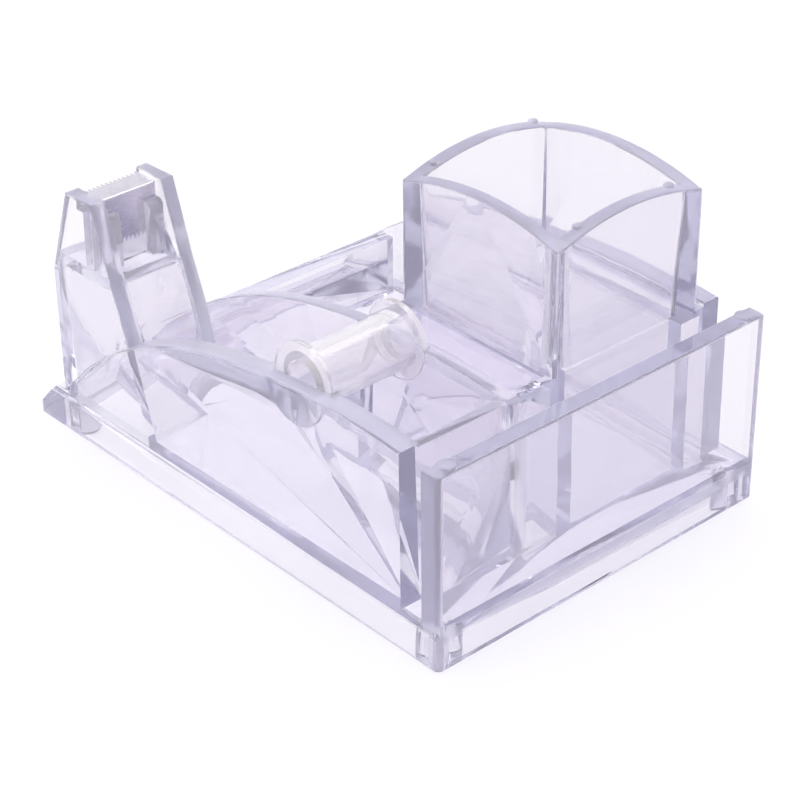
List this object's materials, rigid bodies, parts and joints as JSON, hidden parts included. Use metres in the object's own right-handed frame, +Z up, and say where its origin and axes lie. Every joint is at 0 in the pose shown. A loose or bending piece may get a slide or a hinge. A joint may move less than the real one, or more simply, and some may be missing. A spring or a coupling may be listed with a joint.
{
  "type": "tape dispenser desk organizer",
  "caption": "Clear desk organizer with a tape dispenser and serrated cutter, an arched square pen cup, an open tray and a note slot.",
  "frame": {"origin": "centre of the base's plan, on the surface that the feet stand on", "axes": "+X from the cutter end to the note plate, +Y from the tape well's side to the tray's side, +Z up"},
  "size_m": [0.1658, 0.114, 0.095],
  "materials": {
    "body_clear": "clear polystyrene, polished",
    "cup_clear": "clear polystyrene, polished, slightly wavy faces",
    "hub_clear": "clear polystyrene",
    "blade_steel": "bright stamped steel strip",
    "foot_pad": "soft translucent pad"
  },
  "bodies": {
    "organizer": {"base_deck": "body_clear", "base_skirt_near": "body_clear", "base_skirt_far": "body_clear", "base_skirt_rear": "body_clear", "side_wall": "body_clear", "middle_wall": "body_clear", "far_wall": "body_clear", "note_plate": "body_clear", "tray_end_wall": "body_clear", "tape_cross_wall": "body_clear", "cup_cross_wall": "body_clear", "platform_front_wall": "body_clear", "platform_near_strip": "body_clear", "platform_far_strip": "body_clear", "cup_well_near_wall": "body_clear", "cup_well_far_wall": "body_clear", "post_near_cheek": "body_clear", "post_far_cheek": "body_clear", "post_front_wall": "body_clear", "post_web": "body_clear", "post_ledge": "body_clear", "blade_carrier": "body_clear", "blade_tab_near": "body_clear", "blade_tab_far": "body_clear", "pen_cup": "cup_clear", "cutter_blade": "blade_steel", "foot_1": "foot_pad", "foot_2": "foot_pad", "foot_3": "foot_pad", "foot_4": "foot_pad"},
    "hub": {"tape_hub": "hub_clear"}
  },
  "joints": [
    {"name": "hub_spin", "type": "hinge", "parent": "organizer", "child": "hub", "pos_m": [0.029, -0.036, 0.057], "axis": [0, 1, 0], "continuous": true}
  ]
}
